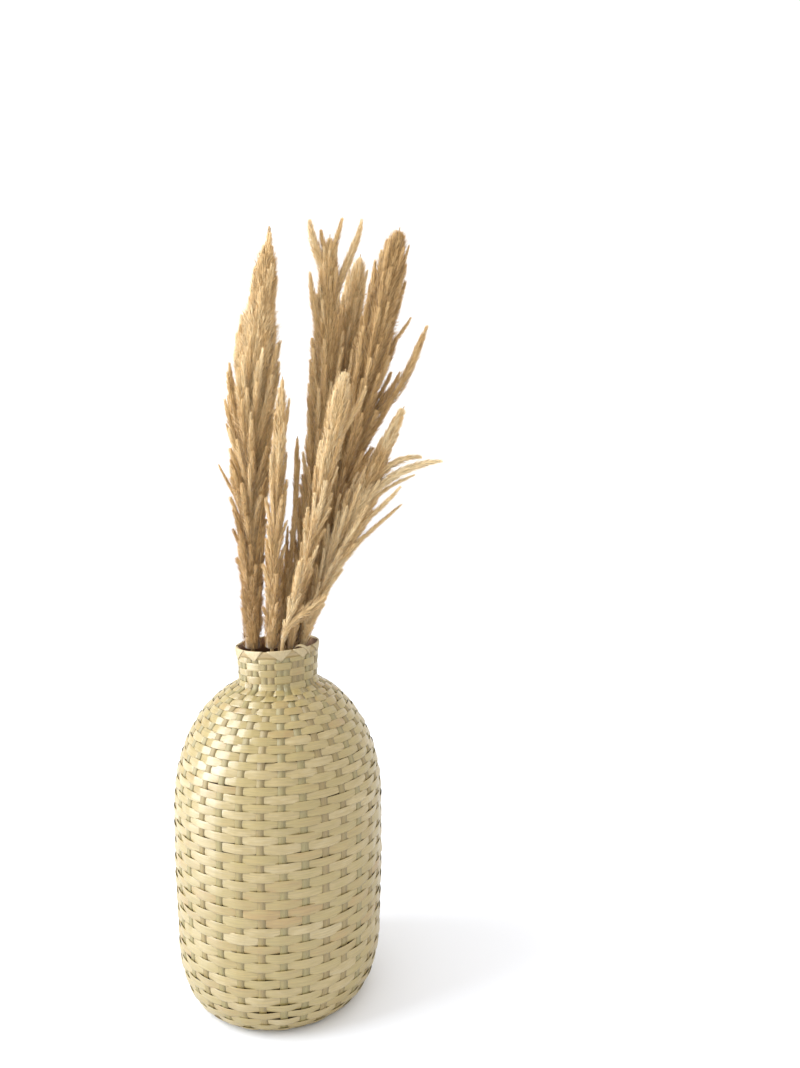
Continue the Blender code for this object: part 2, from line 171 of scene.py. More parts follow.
def stake_turn(stake, walk):
    """The angle of a stake, or of a place between stakes, which sways a little like hand work."""
    wave = sum(
        height * np.sin(stake * math.tau * count / STAKES + walk * twist + shift)
        for height, count, twist, shift in SWAY_WAVES
    )
    return FIRST_STAKE + stake * math.tau / STAKES + STAKE_SWAY * wave


def stake_width(walk):
    spacing = np.interp(walk, walks, outline_r) * math.tau / STAKES
    return np.minimum(STAKE_WIDTH, STAKE_SHARE * spacing)


def neck_share(walk):
    """0 on the body, 1 in the neck."""
    narrow = 1.0 - eased(*NECK_BLEND, np.interp(walk, walks, outline_r))
    return np.where(np.asarray(walk) > ROWS[ANCHOR], narrow, 0.0)


def pair_pull(stake, walk):
    """The angle by which a stake leans to its partner in the neck, where two of them work as one."""
    gap = math.tau / STAKES - stake_width(walk) / np.interp(walk, walks, outline_r)
    return (-PAIR_PULL if stake % 2 == 0 else PAIR_PULL) * gap * neck_share(walk)


def dive_depth(walk):
    """How far below the outline a weft straw lies where it passes behind a stake."""
    wide = eased(*DIVE_BLEND, np.interp(walk, walks, outline_r))
    return DIVE_SHALLOW + (DIVE_DEEP - DIVE_SHALLOW) * wide


def placed(name, data):
    """A new object of the scene, from its mesh, light or camera."""
    made = bpy.data.objects.new(name, data)
    bpy.context.scene.collection.objects.link(made)
    return made


def build(name, points, faces, marks, bake_map):
    """A mesh object from arrays. faces is a list of arrays with one face a row, marks are numbers kept at
    each point, and bake_map is a flat layout of the points."""
    mesh = bpy.data.meshes.new(name)
    corners = np.concatenate([group.ravel() for group in faces]).astype(np.int32)
    sizes = np.concatenate([np.full(len(group), group.shape[1]) for group in faces])
    starts = np.concatenate([[0], np.cumsum(sizes)[:-1]])
    mesh.vertices.add(len(points))
    mesh.vertices.foreach_set("co", points.astype(np.float32).ravel())
    mesh.loops.add(len(corners))
    mesh.loops.foreach_set("vertex_index", corners)
    mesh.polygons.add(len(sizes))
    mesh.polygons.foreach_set("loop_start", starts.astype(np.int32))
    mesh.update(calc_edges=True)
    for mark, values in marks.items():
        kept = mesh.attributes.new(mark, "FLOAT", "POINT")
        kept.data.foreach_set("value", values.astype(np.float32))
    layout = mesh.uv_layers.new(name="OFBake")
    layout.uv.foreach_set("vector", bake_map[corners].astype(np.float32).ravel())
    mesh.polygons.foreach_set("use_smooth", np.full(len(sizes), True))
    return placed(name, mesh)


def strip_marks(columns):
    """The place along and across its strip, and the strip's own number, for all points."""
    return dict(zip(("along", "across", "strip"), np.vstack(columns).T, strict=True))


def tubes(rings, sides, firsts=(0,)):
    """Faces of closed tubes, sides first and then both ends. firsts has each tube's first point."""
    ring = np.arange(rings - 1)[:, None] * sides
    side = np.arange(sides)[None, :]
    after = (side + 1) % sides
    quads = np.stack([ring + side, ring + after, ring + sides + after, ring + sides + side], axis=-1)
    ends = np.stack([np.arange(sides)[::-1], np.arange(sides) + (rings - 1) * sides])
    firsts = np.array(firsts)[:, None, None]
    return [(quads.reshape(1, -1, 4) + firsts).reshape(-1, 4), (ends[None] + firsts).reshape(-1, sides)]


def new_finish(name):
    """A new material, its node tree and its shader."""
    material = bpy.data.materials.new(name)
    material.use_nodes = True
    return material, material.node_tree, material.node_tree.nodes["Principled BSDF"]


def worked(tree, kind, settings=None, **values):
    """A shader node with its settings and input values, where a value may be another node's output."""
    node = tree.nodes.new(kind)
    for name, value in (settings or {}).items():
        setattr(node, name, value)
    for name, value in values.items():
        socket = node.inputs[int(name[1:])] if name[0] == "i" and name[1:].isdigit() else node.inputs[name]
        if isinstance(value, bpy.types.NodeSocket):
            tree.links.new(value, socket)
        else:
            socket.default_value = value
    return node


def mark_output(tree, mark):
    return worked(tree, "ShaderNodeAttribute", {"attribute_name": mark}).outputs["Fac"]


def times(tree, value, factor, plus=0.0):
    settings = {"operation": "MULTIPLY_ADD"}
    return worked(tree, "ShaderNodeMath", settings, i0=value, i1=factor, i2=plus).outputs[0]


def ranged(tree, value, low, high, to_low=0.0, to_high=1.0):
    """A number that goes from to_low to to_high while the value goes from low to high."""
    limits = {"From Min": low, "From Max": high, "To Min": to_low, "To Max": to_high}
    return worked(tree, "ShaderNodeMapRange", Value=value, **limits).outputs[0]


def streaks(tree, along, across, lane, detail):
    """Uneven streaks. A large along makes them short, and a large across makes them narrow."""
    stretched = {
        "X": times(tree, mark_output(tree, "along"), along),
        "Y": times(tree, mark_output(tree, "across"), across),
        "Z": lane,
    }
    place = worked(tree, "ShaderNodeCombineXYZ", **stretched).outputs[0]
    return worked(tree, "ShaderNodeTexNoise", Vector=place, Scale=1.0, Detail=detail).outputs["Fac"]


def shaded(tree, colour, shade):
    settings = {"operation": "SCALE"}
    return worked(tree, "ShaderNodeVectorMath", settings, i0=colour, Scale=shade).outputs[0]


def ramp(tree, value, stops):
    """Colours by a number. stops are (place, colour)."""
    node = worked(tree, "ShaderNodeValToRGB", i0=value)
    while len(node.color_ramp.elements) < len(stops):
        node.color_ramp.elements.new(0.5)
    for element, (place, colour) in zip(node.color_ramp.elements, stops, strict=True):
        element.position = place
        element.color = (*colour, 1.0)
    return node.outputs["Color"]


LANE_APART = 57.0
FIBRE_RANGE = (0.3, 0.7)
FIBRE_STREAKS = (45.0, 7.0)
PATCH_STREAKS = (90.0, 1.1)
PATCH_SPREAD = 0.9
SHADE_HIGH = 1.08
ROUGH_SPREAD = 0.24


def straw_finish(name, stops, shade_low, roughness, gloss_turn):
    """Split straw: its own tone for each strip, fine fibres along it, and a gloss that spreads across them.
    gloss_turn is 0.25 for strips that go round the pot, and 0 for strips that go up it."""
    material, tree, shader = new_finish(name)
    strip = mark_output(tree, "strip")
    lane = times(tree, strip, LANE_APART)
    fibres = streaks(tree, *FIBRE_STREAKS, lane, 3.0)
    patches = streaks(tree, *PATCH_STREAKS, lane, 2.0)
    patches = times(tree, patches, PATCH_SPREAD, -PATCH_SPREAD / 2)
    added = {"operation": "ADD", "use_clamp": True}
    tone = worked(tree, "ShaderNodeMath", added, i0=strip, i1=patches).outputs[0]
    shade = ranged(tree, fibres, *FIBRE_RANGE, shade_low, SHADE_HIGH)
    tree.links.new(shaded(tree, ramp(tree, tone, stops), shade), shader.inputs["Base Color"])
    rough = times(tree, fibres, ROUGH_SPREAD, roughness - ROUGH_SPREAD / 2)
    tree.links.new(rough, shader.inputs["Roughness"])
    shader.inputs["Specular IOR Level"].default_value = 1.0
    shader.inputs["Anisotropic"].default_value = 0.9
    shader.inputs["Anisotropic Rotation"].default_value = gloss_turn
    bump = worked(tree, "ShaderNodeBump", Height=fibres, Strength=0.5, Distance=0.0005)
    tree.links.new(bump.outputs[0], shader.inputs["Normal"])
    return material


# The stakes are the same straw as the weft. Their darker colour is painted shade for the squares that sit
# back between the rows.
stake_straw = straw_finish(
    "stake_straw",
    [
        (0.0, (0.285, 0.203, 0.073)),
        (0.3, (0.285, 0.217, 0.078)),
        (0.6, (0.275, 0.222, 0.082)),
        (1.0, (0.305, 0.246, 0.101)),
    ],
    0.85,
    0.5,
    0.0,
)

half_rows = np.arange(2 * len(ROWS) - 1) / 2
stake_path = np.interp(half_rows, np.arange(len(ROWS)), ROWS)
stake_path = np.concatenate([[CENTRE_ROW_RADIUS * 0.5], stake_path, [RIM_WALK - STAKE_END]])
stake_section = np.array([(-1.0, 0.1), (0.0, 0.0), (1.0, 0.1), (0.96, 1.0), (-0.96, 1.0)])
rings, section = len(stake_path), len(stake_section)
across = np.tile(stake_section[:, 0], rings)
along = np.repeat(stake_path, section)
stake_points, stake_marks, stake_layout = [], [], []
for stake in range(STAKES):
    in_front = []
    for row in range(len(ROWS)):
        together = stakes_together(row)
        in_front.append(((stake - group_start(together)) // together + row - ANCHOR) % 2 == 0)
    out = np.interp(half_rows, np.arange(len(ROWS)), np.array(in_front, float))
    out = np.concatenate([[out[0]], out, [0.0]])
    rise = dive_depth(stake_path) * (STAKE_COVERED + (STAKE_SHOWN - STAKE_COVERED) * out)
    sides = stake_section[None, :, 0] * stake_width(stake_path)[:, None] / 2
    turn = (stake_turn(stake, stake_path) + pair_pull(stake, stake_path))[:, None]
    turn = turn + sides / np.interp(stake_path, walks, outline_r)[:, None]
    depth = rise[:, None] + stake_section[None, :, 1] * STRAW_THICK
    stake_points.append(on_wall(stake_path[:, None], turn, depth).reshape(-1, 3))
    stake_marks.append(np.column_stack([along, across, np.full(len(across), rng.random())]))
    stake_layout.append(np.column_stack([(stake + 0.5 + LANE_HALF * across) / STAKES, along / RIM_WALK]))
stakes = build(
    "straw_stakes",
    np.vstack(stake_points),
    tubes(rings, section, np.arange(STAKES) * rings * section),
    strip_marks(stake_marks),
    np.vstack(stake_layout),
)
stakes.data.materials.append(stake_straw)
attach(stakes, "root")
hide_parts("woven_pot")


# The weft rows are wider, softer strips of the same straw. Each goes round the pot over one stake and under
# the next, and over pairs in the neck. A row keeps its width over a stake and narrows where it goes behind.
WEFT_OVER = 0.555
WEFT_END = 0.47
WEFT_BEHIND = 0.44
END_TURN = 0.08
END_BEND = 0.03
BEFORE_BEND = 0.02
AFTER_BEND = 0.03
BETWEEN_BENDS = (0.4, 0.75)
MOST_COVERED = 0.42
WEFT_CROWN = 0.00012
SINK_AT_STAKE = 0.46
SINK_IN_NECK = 0.62
WEFT_TAIL = 0.3
CREASE_SHARE = 0.45
CREASE_DEEP = 0.00045
ROW_WANDER = 0.0003
FLOAT_WANDER = 0.0002
WIDTH_VARIES = 0.05
DIVE_VARIES = 0.0001
FLOAT_TILT = 0.00028
FACE_UNEVEN = 0.00005
OWN_TONE = 0.7
VARIES_UP_TO = 0.6

straw = straw_finish(
    "split_straw",
    [
        (0.0, (0.375, 0.252, 0.090)),
        (0.15, (0.372, 0.270, 0.099)),
        (0.45, (0.372, 0.287, 0.105)),
        (0.75, (0.410, 0.311, 0.131)),
        (1.0, (0.460, 0.364, 0.178)),
    ],
    0.80,
    0.33,
    0.25,
)

# Half a strip across is 1, and its thickness is 1. The last two points are its back.
weft_section = np.array(
    [(-1, 0.5), (-0.88, 0), (-0.44, 0), (0, 0), (0.44, 0), (0.88, 0), (1, 0.5), (0.9, 1), (-0.9, 1)], float
)
section = len(weft_section)
outer_points = section - 2


def float_places(covered, first_group, last_group):
    """Where the rings of a row lie, in numbers of stake groups: close together where it bends."""
    slope = 1.0 - 2.0 * covered
    hidden = 1.0 - covered
    quarter = [0.0, covered - BEFORE_BEND, covered + AFTER_BEND]
    quarter += [covered + slope * share for share in BETWEEN_BENDS]
    quarter += [hidden - END_TURN * slope, hidden - END_BEND * slope, hidden + BEFORE_BEND]
    quarter = np.array(quarter)
    places = []
    for group in range(first_group, last_group):
        places.append(group + (quarter if group % 2 == 0 else 1.0 - quarter))
    return np.unique(np.round(np.concatenate(places), 6))


def weave_rows(name, chosen):
    """One piece with the chosen rows. Each row is a strip whose ends are behind a stake at the back."""
    points, marks, layout, faces = [], [], [], []
    first = 0
    for row in chosen:
        row_walk = ROWS[row]
        together = stakes_together(row)
        groups = STAKES // together
        radius = float(np.interp(row_walk, walks, outline_r))
        in_neck = float(neck_share(row_walk))
        step = together * radius * math.tau / STAKES
        pull = 2 * PAIR_PULL * in_neck * (step / together - float(stake_width(row_walk)))
        covered = ((together - 1) * (step / together - pull) + float(stake_width(row_walk))) / 2 / step
        covered = min(covered, MOST_COVERED)
        # from_float is 0 over the stake that a float crosses, and 1 or -1 behind its neighbours.
        shift = (row - ANCHOR) % 2
        back = groups // 2 + (groups // 2 + shift) % 2
        place = float_places(covered, -2, groups + 2)
        place = place + shift + 1
        start = back - WEFT_TAIL
        place = place + math.floor((start - place[0]) / 2) * 2
        place = place[(place >= start) & (place <= back + groups + WEFT_TAIL)]
        from_float = (place - shift) % 2.0 - 1.0
        float_number = np.floor((place - shift) / 2.0).astype(int) % STAKES
        closeness = np.abs(from_float)
        turn_place = place * together + (together - 1) / 2 + group_start(together)
        above = ROWS[row + 1] - row_walk if row + 1 < len(ROWS) else NECK_ROW
        below = row_walk - ROWS[row - 1] if row else BODY_ROW
        pitch = (above + below) / 2
        shared = 1.0 - eased(VARIES_UP_TO, 1.0, closeness)
        jitter = rng.normal(0.0, 1.0, (4, STAKES))[:, float_number] * shared
        ends = [1.0 - covered - END_TURN, 1.0 - covered, 1.0]
        half = pitch * np.interp(closeness, ends, [WEFT_OVER, WEFT_END, WEFT_BEHIND])
        half = half * (1.0 + WIDTH_VARIES * jitter[0])
        wander = ROW_WANDER * np.sin(turn_place * math.tau * 2 / STAKES + row * 1.7)
        middle = row_walk + wander + FLOAT_WANDER * jitter[1]
        sink_at = SINK_AT_STAKE + (SINK_IN_NECK - SINK_AT_STAKE) * in_neck
        sink = np.interp(closeness, [covered, 1.0 - covered, 1.0], [0.0, sink_at, 1.0])
        dive = dive_depth(row_walk) * sink + DIVE_VARIES * (1.0 - in_neck) * jitter[3] * from_float
        crown = WEFT_CROWN * half / (BODY_ROW * WEFT_OVER)
        v = weft_section[None, :, 0]
        walk = middle[:, None] + v * half[:, None]
        creases = np.zeros((STAKES, section))
        creased = rng.random(STAKES) < CREASE_SHARE
        crease = CREASE_DEEP * rng.random(STAKES) * creased
        creases[np.arange(STAKES), rng.integers(1, outer_points - 1, STAKES)] = crease
        creases[:, :outer_points] += rng.normal(0.0, FACE_UNEVEN, (STAKES, outer_points))
        depth = dive[:, None] + crown[:, None] * v**2 + FLOAT_TILT * jitter[2][:, None] * v
        depth = depth + creases[float_number] * shared[:, None] + weft_section[None, :, 1] * STRAW_THICK
        turn = np.broadcast_to(stake_turn(turn_place, row_walk)[:, None], walk.shape)
        rings = len(place)
        points.append(on_wall(np.abs(walk), turn, depth).reshape(-1, 3))
        along = np.repeat(place * step, section)
        across = np.tile(weft_section[:, 0], rings)
        tone = OWN_TONE * rng.random(STAKES)[float_number] + (1.0 - OWN_TONE) * rng.random()
        marks.append(np.column_stack([along, across, np.repeat(tone, section)]))
        share_round = (place - place[0]) / (place[-1] - place[0])
        lane = (len(marks) - 0.5 + LANE_HALF * across) / len(chosen)
        layout.append(np.column_stack([np.repeat(share_round, section), lane]))
        faces += tubes(rings, section, [first])
        first += rings * section
    rows = build(name, np.vstack(points), faces, strip_marks(marks), np.vstack(layout))
    rows.data.materials.append(straw)
    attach(rows, "root")
    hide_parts("woven_pot")


BASE_ROWS = ANCHOR - 4
weave_rows("straw_base_rows", range(BASE_ROWS))
weave_rows("straw_rows", range(BASE_ROWS, len(ROWS)))


# The inside of the basket, the back of the strips, is one thin sleeve behind the rows, from near the middle
# of the base up to the edge.
# Its dark, even colour is painted shade, and less shade is painted near the edge, so it is lighter there.
INSIDE_BEHIND = 0.0005
INSIDE_THICK = 0.0004
INSIDE_FROM = 0.010
INSIDE_TOP = 0.0015
INSIDE_RINGS = 64
INSIDE_SIDES = 36
# The sleeve's painted shade lightens between these two distances below the edge.
EDGE_LIGHTER_FROM = 0.016
EDGE_LIGHTER_TO = 0.006

inside_walks = np.linspace(INSIDE_FROM, RIM_WALK - INSIDE_TOP, INSIDE_RINGS)
inside_turn = np.linspace(0.0, math.tau, INSIDE_SIDES, endpoint=False)
inside_depth = dive_depth(inside_walks) + INSIDE_BEHIND
both_ways = np.concatenate([inside_walks, inside_walks[::-1]])
both_depths = np.concatenate([inside_depth, inside_depth[::-1] + INSIDE_THICK])
inside_points = on_wall(both_ways[:, None], inside_turn[None, :], both_depths[:, None]).reshape(-1, 3)
seam = np.arange(INSIDE_SIDES)
after = (seam + 1) % INSIDE_SIDES
last = len(inside_points) - INSIDE_SIDES
inside_seam = np.stack([last + seam, last + after, after, seam], axis=-1)
inside = build(
    "straw_inside",
    inside_points,
    [tubes(2 * INSIDE_RINGS, INSIDE_SIDES)[0], inside_seam],
    {"along": np.repeat(both_ways, INSIDE_SIDES)},
    np.column_stack([
        np.tile(inside_turn / math.tau, 2 * INSIDE_RINGS),
        np.repeat(np.linspace(0.0, 1.0, 2 * INSIDE_RINGS), INSIDE_SIDES),
    ]),
)
inside_painted_shade, tree, inside_shader = new_finish("inside_painted_shade")
lighter_from, lighter_to = RIM_WALK - EDGE_LIGHTER_FROM, RIM_WALK - EDGE_LIGHTER_TO
near_edge = ranged(tree, mark_output(tree, "along"), lighter_from, lighter_to)
# Painted shade: dark brown deep in the pot, lighter near the edge.
inside_shade_colour = ramp(tree, near_edge, [(0.0, (0.065, 0.025, 0.008)), (1.0, (0.17, 0.08, 0.03))])
tree.links.new(inside_shade_colour, inside_shader.inputs["Base Color"])
inside_shader.inputs["Roughness"].default_value = 0.7
inside.data.materials.append(inside_painted_shade)
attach(inside, "root")
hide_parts("woven_pot")


# The rim is the stake ends, damped and bent over the mouth. They lie over a narrow band that binds the edge,
# and show outside as light, pointed folds. One loose end hooks over the front from inside the mouth.
RIM_FOLDS = 10
FIRST_FOLD = math.radians(-27.0)
FOLD_HALF_TURN = math.radians(17.0)
BAND_REACH = 0.0073
SHEET_THICK = 0.0004
BACK_LOWER = 0.0001
EDGE_LIFT = 0.0002
FOLD_TURN_VARIES = 0.03
FOLD_LONG_VARIES = (0.86, 1.06)
FOLD_WIDE_VARIES = (0.92, 1.06)
FOLD_SKEW = 0.15
FOLD_CURL = 0.0002
FOLD_TONES = (0.62, 0.95)
BAND_TONE = 0.18
BAND_STEPS = 161
HOOK_TONE = 0.8
HOOK_STEPS = 29

folded_straw = straw_finish(
    "folded_straw",
    [
        (0.0, (0.350, 0.240, 0.095)),
        (0.35, (0.380, 0.280, 0.120)),
        (0.6, (0.430, 0.330, 0.165)),
        (1.0, (0.490, 0.385, 0.205)),
    ],
    0.84,
    0.42,
    0.0,
)


def round_mouth(height, turn, depth):
    """Points at a height, turned round the mouth from its front, and this deep below the pot's outline."""
    radius = wall_radius(height) - depth
    x = radius * np.sin(turn)
    climb = RIM_LEAN * x * eased(LEAN_START_Z, POT_HEIGHT, height)
    return np.stack(np.broadcast_arrays(x, -radius * np.cos(turn), height + climb), axis=-1)


def sheet_ring(height, turn, depth):
    """A ring of points round one cross-section of a thin sheet, its front first and its back after it."""
    front = round_mouth(height, turn, depth)
    back = round_mouth(height - BACK_LOWER, turn, depth + SHEET_THICK)
    return np.concatenate([front, back[::-1]])


rim_points, rim_marks, rim_layout, rim_faces = [], [], [], []


def add_sheet(rings, tone, along_scale, lane):
    """Adds one closed sheet to the rim. Fibres run from ring to ring."""
    count, sides = len(rings), len(rings[0])
    first = sum(len(points) for points in rim_points)
    rim_points.append(np.concatenate(rings))
    across = np.concatenate([np.linspace(-1.0, 1.0, sides // 2), np.linspace(1.0, -1.0, sides // 2)])
    along = np.repeat(np.linspace(0.0, 1.0, count), sides)
    across = np.tile(across, count)
    rim_marks.append(np.column_stack([along * along_scale, across, np.full(len(across), tone)]))
    lanes = (lane + 0.5 + LANE_HALF * across) / (RIM_FOLDS + 2)
    rim_layout.append(np.column_stack([0.02 + 0.96 * along, lanes]))
    rim_faces.extend(tubes(count, sides, [first]))


# The band goes once round, from its hem outside, over the edge and down inside the mouth.
band_down = np.array([1.0, 0.45, 0.12, 0.06, 0.08, 0.14, 0.22])
band_deep = np.array([-0.0002, -0.0003, 0.0000, 0.0004, 0.0009, 0.0012, 0.0013])
band_rings = []
for turn in np.linspace(-math.pi, math.pi, BAND_STEPS):
    hem = BAND_REACH * (1.0 + 0.05 * math.sin(3 * turn + 1.0) + 0.04 * math.sin(11 * turn))
    band_rings.append(sheet_ring(POT_HEIGHT - hem * band_down, turn, band_deep))
add_sheet(band_rings, BAND_TONE, 0.25, 0)

# Each fold is widest at the edge and ends in a point outside. Its other end goes down inside the mouth.
fold_down = np.array([1.0, 0.86, 0.68, 0.50, 0.32, 0.18, 0.07, 0.01, 0.0, 0.02, 0.06, 0.12, 0.18])
fold_deep = np.array([-6.0, -7.0, -8.0, -8.0, -8.0, -7.0, -5.0, -1.0, 4.0, 10.0, 13.0, 14.0, 14.0]) * 0.0001
fold_wide = np.array([0.05, 0.19, 0.36, 0.53, 0.70, 0.84, 0.94, 0.98, 0.98, 0.95, 0.85, 0.7, 0.55])
spread = np.linspace(-1.0, 1.0, 9)
for fold in range(RIM_FOLDS):
    middle = FIRST_FOLD + fold * math.tau / RIM_FOLDS + rng.normal(0.0, FOLD_TURN_VARIES)
    reach = FOLD_LONG * rng.uniform(*FOLD_LONG_VARIES)
    half = FOLD_HALF_TURN * rng.uniform(*FOLD_WIDE_VARIES)
    point = rng.normal(0.0, FOLD_SKEW)
    curl = rng.normal(0.0, FOLD_CURL)
    rings = []
    for down, deep, wide in zip(fold_down, fold_deep, fold_wide, strict=True):
        outside = 1.0 if deep < 0 else 0.0
        turn = middle + half * (spread * wide + point * (1.0 - wide) * outside)
        depth = deep + outside * (curl * spread - EDGE_LIFT * np.abs(spread) ** 3)
        rings.append(sheet_ring(np.full(len(spread), POT_HEIGHT - reach * down), turn, depth))
    add_sheet(rings, rng.uniform(*FOLD_TONES), 0.1, fold + 1)

# The loose end comes up from inside, over the edge, and down the outside.
hook_turn = np.radians([30.0, 33.0, 36.5, 40.0, 44.0, 48.5, 53.0, 56.5])
hook_rise = np.array([-0.0100, -0.0040, 0.0005, 0.0024, 0.0021, -0.0002, -0.0042, -0.0078])
hook_deep = np.array([0.0080, 0.0072, 0.0056, 0.0034, 0.0008, -0.0012, -0.0018, -0.0014])
hook_wide = np.array([0.0012, 0.0014, 0.0015, 0.0015, 0.0014, 0.0013, 0.0010, 0.0005])
fine = np.linspace(0, len(hook_turn) - 1, HOOK_STEPS)
steps = np.arange(len(hook_turn))
drawn_hook = (hook_turn, hook_rise, hook_deep, hook_wide)
hook = [softened(np.interp(fine, steps, values), 2) for values in drawn_hook]
rings = []
for turn, rise, deep, wide in zip(*hook, strict=True):
    sides = spread[::2] * wide
    rings.append(sheet_ring(POT_HEIGHT + rise + sides * 0.6, turn + sides * 0.8 / RIM_RADIUS, deep))
add_sheet(rings, HOOK_TONE, 0.05, RIM_FOLDS + 1)

rim = build("rim_folds", np.vstack(rim_points), rim_faces, strip_marks(rim_marks), np.vstack(rim_layout))
rim.data.materials.append(folded_straw)
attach(rim, "root")
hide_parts("folded_rim")


# Nine dried stalks stand loose in the pot. Each culm is a thin, hard tube, grown in one piece with a faint
# joint here and there. It stands on the pot's floor and goes up through the mouth into its plume.
CULM_RADIUS = 0.0019
CULM_RINGS = 54
CULM_SIDES = 10
CULM_TAPER = 0.15
CULM_FOOT_Z = 0.0063
NECK_Z = 0.339
PLUME_START_Z = 0.347
CULM_INTO_PLUME = 0.020
JOINT_SPACING = 0.105
JOINT_LONG = 0.004
JOINT_OFFSET = 0.03
JOINT_SWELL = 0.16
CULM_STREAKS = (14.0, 9.0)
LINE_STEPS = 40
HEADING_REACH = 0.004
EAST = np.array([1.0, 0.0, 0.0])

# foot, neck and mid are places on the stalk, and tip is its end. widths are the plume's radii in millimetres
# from root to tip. tones are for its lower and upper part. lock is how long its locks are. strays are wisps
# that stand off: where each one leaves the plume, its end, its width, and its lift.
STALKS = {
    "left": {
        "foot": (-0.019, -0.026), "neck": (-0.0225, -0.010), "mid": (-0.0205, -0.008, 0.560),
        "tip": (-0.0012, -0.006, 0.728), "widths": (10.2, 15.2, 21.4, 25.0, 24.4, 15.6, 13.2, 5.5, 1.0),
        "tones": (0.08, 0.50), "lock": 0.072,
        "strays": (
            (0.90, (-0.0024, -0.006, 0.7285), 0.0017, 0.0), (0.56, (-0.028, -0.012, 0.646), 0.0030, 0.3),
            (0.44, (-0.041, -0.014, 0.594), 0.0030, 0.3), (0.32, (-0.042, -0.022, 0.568), 0.0034, 0.3),
            (0.34, (-0.046, 0.002, 0.548), 0.0026, 0.3), (0.22, (-0.051, -0.010, 0.509), 0.0020, -0.2),
            (0.02, (-0.0100, -0.016, 0.486), 0.0036, 0.4), (0.00, (-0.0105, -0.013, 0.440), 0.0036, 0.3),
        ),
    },
    "left_inner": {
        "foot": (-0.009, -0.023), "neck": (-0.0025, -0.019), "mid": (0.005, -0.031, 0.479),
        "tip": (0.012, -0.031, 0.590), "widths": (9.4, 11.8, 11.6, 10.6, 9.4, 7.8, 5.8, 3.4, 0.8),
        "tones": (0.40, 0.46), "lock": 0.060,
        "strays": (
            (0.58, (0.017, -0.026, 0.569), 0.0028, 0.3), (0.20, (0.0135, -0.030, 0.484), 0.0028, 0.3),
            (0.00, (-0.0070, -0.020, 0.434), 0.0024, 0.2),
        ),
    },
    "thin": {
        "foot": (-0.028, -0.015), "neck": (0.003, -0.005), "mid": (0.016, 0.004, 0.449),
        "tip": (0.020, 0.008, 0.538), "widths": (6.4, 7.6, 6.6, 4.0, 2.8, 3.6, 4.2, 2.6, 0.6),
        "tones": (0.45, 0.45), "lock": 0.045,
        "strays": (
            (0.00, (0.0110, -0.002, 0.450), 0.0026, 0.2), (0.00, (0.0065, -0.010, 0.428), 0.0028, 0.2),
        ),
    },
    "front_short": {
        "foot": (-0.004, -0.048), "neck": (0.008, -0.027), "mid": (0.021, -0.038, 0.388),
        "tip": (0.030, -0.043, 0.428), "widths": (3.0, 4.6, 5.6, 6.2, 6.2, 5.8, 4.4, 3.0, 0.8),
        "tones": (1.00, 0.70), "lock": 0.036, "strays": ((0.04, (0.0485, -0.036, 0.390), 0.0056, 0.1),),
    },
    "middle": {
        "foot": (-0.054, 0.000), "neck": (0.009, 0.003), "mid": (0.0435, 0.018, 0.560),
        "tip": (0.0510, 0.024, 0.731), "widths": (9.0, 12.6, 15.8, 19.0, 18.8, 15.4, 11.5, 10.0, 5.0),
        "tones": (0.32, 0.48), "lock": 0.070,
        "strays": (
            (0.83, (0.0322, 0.018, 0.7405), 0.0056, 0.9), (0.90, (0.0625, 0.022, 0.744), 0.0036, 0.2),
            (0.88, (0.0425, 0.022, 0.733), 0.0036, 0.2), (0.76, (0.0810, 0.028, 0.7435), 0.0050, 0.7),
            (0.60, (0.033, 0.012, 0.690), 0.0046, 0.3),
        ),
    },
    "front": {
        "foot": (-0.021, -0.003), "neck": (0.015, -0.019), "mid": (0.050, -0.040, 0.497),
        "tip": (0.070, -0.045, 0.595), "widths": (5.0, 8.0, 11.5, 12.0, 12.4, 12.2, 10.6, 7.4, 1.5),
        "tones": (0.50, 0.52), "lock": 0.055, "strays": ((0.62, (0.087, -0.040, 0.578), 0.0036, 0.3),),
    },
    "middle_back": {
        "foot": (-0.037, 0.003), "neck": (0.014, 0.009), "mid": (0.0565, 0.044, 0.576),
        "tip": (0.0788, 0.053, 0.720), "widths": (7.5, 12.0, 16.5, 17.5, 17.5, 16.0, 13.4, 11.0, 5.0),
        "tones": (0.45, 0.60), "lock": 0.070, "strays": ((0.30, (0.052, 0.074, 0.560), 0.0032, 0.3),),
    },
    "right": {
        "foot": (-0.049, -0.007), "neck": (0.023, 0.000), "mid": (0.073, 0.006, 0.535),
        "tip": (0.118, 0.012, 0.734), "widths": (7.5, 13.0, 20.5, 22.0, 22.0, 19.2, 18.0, 14.5, 4.0),
        "tones": (0.24, 0.14), "lock": 0.075,
        "strays": (
            (0.60, (0.1275, 0.020, 0.650), 0.0030, 0.2), (0.53, (0.1425, 0.000, 0.638), 0.0052, 1.3),
            (0.40, (0.117, 0.022, 0.598), 0.0042, 0.3), (0.32, (0.114, 0.000, 0.580), 0.0046, 0.2),
        ),
    },
    "low_right": {
        "foot": (-0.031, -0.054), "neck": (0.025, -0.010), "mid": (0.073, -0.020, 0.460),
        "tip": (0.122, -0.024, 0.564), "widths": (5.0, 11.2, 18.2, 19.0, 14.5, 8.6, 7.6, 6.4, 2.5),
        "tones": (0.62, 0.68), "lock": 0.070,
        "strays": (
            (0.48, (0.154, -0.030, 0.514), 0.0050, -0.6), (0.58, (0.136, -0.022, 0.518), 0.0044, -0.7),
            (0.44, (0.130, -0.008, 0.5005), 0.0026, -0.5),
            (0.30, (0.117, -0.032, 0.489), 0.0033, 0.0), (0.14, (0.117, -0.018, 0.472), 0.0029, -0.3),
        ),
    },
}


def unit(vectors):
    return vectors / np.linalg.norm(vectors, axis=-1, keepdims=True)


